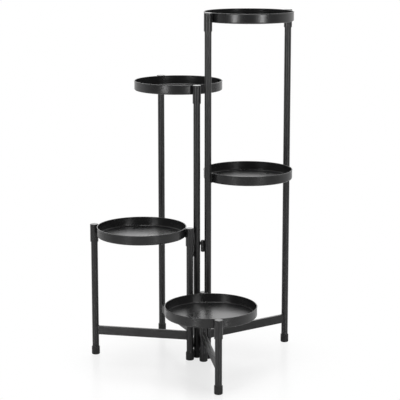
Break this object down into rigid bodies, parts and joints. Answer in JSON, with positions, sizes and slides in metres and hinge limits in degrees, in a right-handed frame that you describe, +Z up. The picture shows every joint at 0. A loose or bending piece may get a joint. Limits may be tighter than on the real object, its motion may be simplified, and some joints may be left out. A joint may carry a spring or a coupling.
{
  "type": "plant stand",
  "caption": "Folding tiered plant stand: hinged ladder frames of round tube with low cross bars, each carrying a round dish tray at a different height.",
  "frame": {"origin": "on the floor at the centre of the sole of the right frame's inner foot, the leg that the back and front frames are hinged to", "axes": "+Z up along the legs; +X to the viewer's right and +Y away from the viewer, looking at the stand with its lowest tray in front"},
  "size_m": [0.5719, 0.5876, 0.9773],
  "materials": {
    "frame_coat": "satin black powder coat with fine orange peel",
    "tray_coat": "satin black powder coat, a little glossier than the tubes",
    "foot_plastic": "matt moulded black",
    "cap_plastic": "satin moulded black",
    "pin_steel": "turned steel, plain"
  },
  "bodies": {
    "right_frame": {"back_hinge_lower_knuckles": "frame_coat", "back_hinge_pins": "pin_steel", "back_hinge_washers": "pin_steel", "front_hinge_lower_knuckles": "frame_coat", "front_hinge_pins": "pin_steel", "front_hinge_washers": "pin_steel", "right_cross_bar": "frame_coat", "right_inner_coupling": "frame_coat", "right_inner_foot": "foot_plastic", "right_inner_leg_lower": "frame_coat", "right_inner_leg_upper": "frame_coat", "right_inner_sleeve": "frame_coat", "right_middle_tray": "tray_coat", "right_middle_tray_lugs": "frame_coat", "right_outer_coupling": "frame_coat", "right_outer_foot": "foot_plastic", "right_outer_leg_lower": "frame_coat", "right_outer_leg_upper": "frame_coat", "right_outer_sleeve": "frame_coat", "right_sleeve_caps": "cap_plastic", "right_tray": "tray_coat", "right_tray_lugs": "frame_coat"},
    "back_frame": {"back_cross_bar": "frame_coat", "back_hinge_upper_knuckles": "frame_coat", "back_inner_foot": "foot_plastic", "back_inner_leg": "frame_coat", "back_inner_sleeve": "frame_coat", "back_outer_foot": "foot_plastic", "back_outer_leg": "frame_coat", "back_outer_sleeve": "frame_coat", "back_sleeve_caps": "cap_plastic", "back_tray": "tray_coat", "back_tray_lugs": "frame_coat", "left_hinge_lower_knuckles": "frame_coat", "left_hinge_pins": "pin_steel", "left_hinge_washers": "pin_steel"},
    "left_frame": {"left_cross_bar": "frame_coat", "left_hinge_upper_knuckles": "frame_coat", "left_inner_foot": "foot_plastic", "left_inner_leg": "frame_coat", "left_inner_sleeve": "frame_coat", "left_outer_foot": "foot_plastic", "left_outer_leg": "frame_coat", "left_outer_sleeve": "frame_coat", "left_sleeve_caps": "cap_plastic", "left_tray": "tray_coat", "left_tray_lugs": "frame_coat"},
    "front_frame": {"front_cross_bar": "frame_coat", "front_hinge_upper_knuckles": "frame_coat", "front_inner_foot": "foot_plastic", "front_inner_leg": "frame_coat", "front_inner_sleeve": "frame_coat", "front_outer_foot": "foot_plastic", "front_outer_leg": "frame_coat", "front_outer_sleeve": "frame_coat", "front_sleeve_caps": "cap_plastic", "front_tray": "tray_coat", "front_tray_lugs": "frame_coat"}
  },
  "joints": [
    {"name": "back_fold", "type": "hinge", "parent": "right_frame", "child": "back_frame", "pos_m": [-0.01375, 0.00999, 0], "axis": [0, 0, 1], "range_deg": [-78, 15]},
    {"name": "left_fold", "type": "hinge", "parent": "back_frame", "child": "left_frame", "pos_m": [-0.04607, 0.00178, 0], "axis": [0, 0, 1], "range_deg": [-56, 15]},
    {"name": "front_fold", "type": "hinge", "parent": "right_frame", "child": "front_frame", "pos_m": [0.00159, -0.01692, 0], "axis": [0, 0, -1], "range_deg": [-116.5, 10]}
  ]
}
